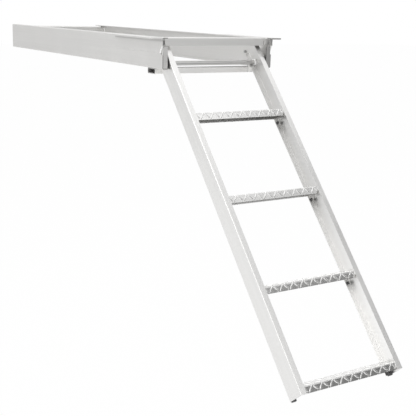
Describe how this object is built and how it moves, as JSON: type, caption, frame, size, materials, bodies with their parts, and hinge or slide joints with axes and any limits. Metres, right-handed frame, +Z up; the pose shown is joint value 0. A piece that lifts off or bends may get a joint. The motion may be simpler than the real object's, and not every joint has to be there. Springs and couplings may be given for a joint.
{
  "type": "under-deck pontoon boat ladder",
  "caption": "Aluminium boarding ladder for a pontoon boat that folds up and slides back on rails under the deck, with patterned treads between channel stringers.",
  "frame": {"origin": "centre of the front cross angle's top face, which lies against the deck's underside", "axes": "+X outboard along the rails, +Y across to the far rail, +Z up"},
  "size_m": [2.1577, 0.5144, 0.9708],
  "materials": {
    "frame_aluminium": "satin mill finish",
    "stringer_aluminium": "satin anodised",
    "tread_plate": "raised tread plate, bright bars",
    "tube_aluminium": "drawn tube, satin",
    "black_plastic": "matt black plastic",
    "black_rubber": "matt black rubber",
    "white_nylon": "white nylon"
  },
  "bodies": {
    "frame": {"front_cross_angle": "frame_aluminium", "rear_cross_member": "frame_aluminium", "rail_near": "frame_aluminium", "rail_far": "frame_aluminium", "mount_angle_near": "frame_aluminium", "mount_angle_far": "frame_aluminium", "stop_plate_near": "frame_aluminium", "stop_plate_far": "frame_aluminium", "stop_buffer_near": "black_rubber", "stop_buffer_far": "black_rubber", "rail_button_near": "black_rubber", "rail_button_far": "black_rubber"},
    "carriage": {"pivot_tube": "tube_aluminium", "lower_crossbar": "frame_aluminium", "crossbar_hanger_near": "frame_aluminium", "crossbar_hanger_far": "frame_aluminium", "slide_shoe_near": "white_nylon", "slide_shoe_far": "white_nylon", "spacer_near": "white_nylon", "spacer_far": "white_nylon"},
    "ladder": {"stringer_near": "stringer_aluminium", "stringer_far": "stringer_aluminium", "tread_1": "tread_plate", "tread_2": "tread_plate", "tread_3": "tread_plate", "tread_4": "tread_plate", "tread_block_1_near": "black_plastic", "tread_block_1_far": "black_plastic", "tread_block_2_near": "black_plastic", "tread_block_2_far": "black_plastic", "tread_block_3_near": "black_plastic", "tread_block_3_far": "black_plastic", "tread_block_4_near": "black_plastic", "tread_block_4_far": "black_plastic"}
  },
  "joints": [
    {"name": "carriage_slide", "type": "slide", "parent": "frame", "child": "carriage", "axis": [1, 0, 0], "range_m": [-1.22, 0]},
    {"name": "ladder_swing", "type": "hinge", "parent": "carriage", "child": "ladder", "pos_m": [-0.01645, 0, -0.0855], "axis": [0, 1, 0], "range_deg": [-48.5, 0]}
  ]
}
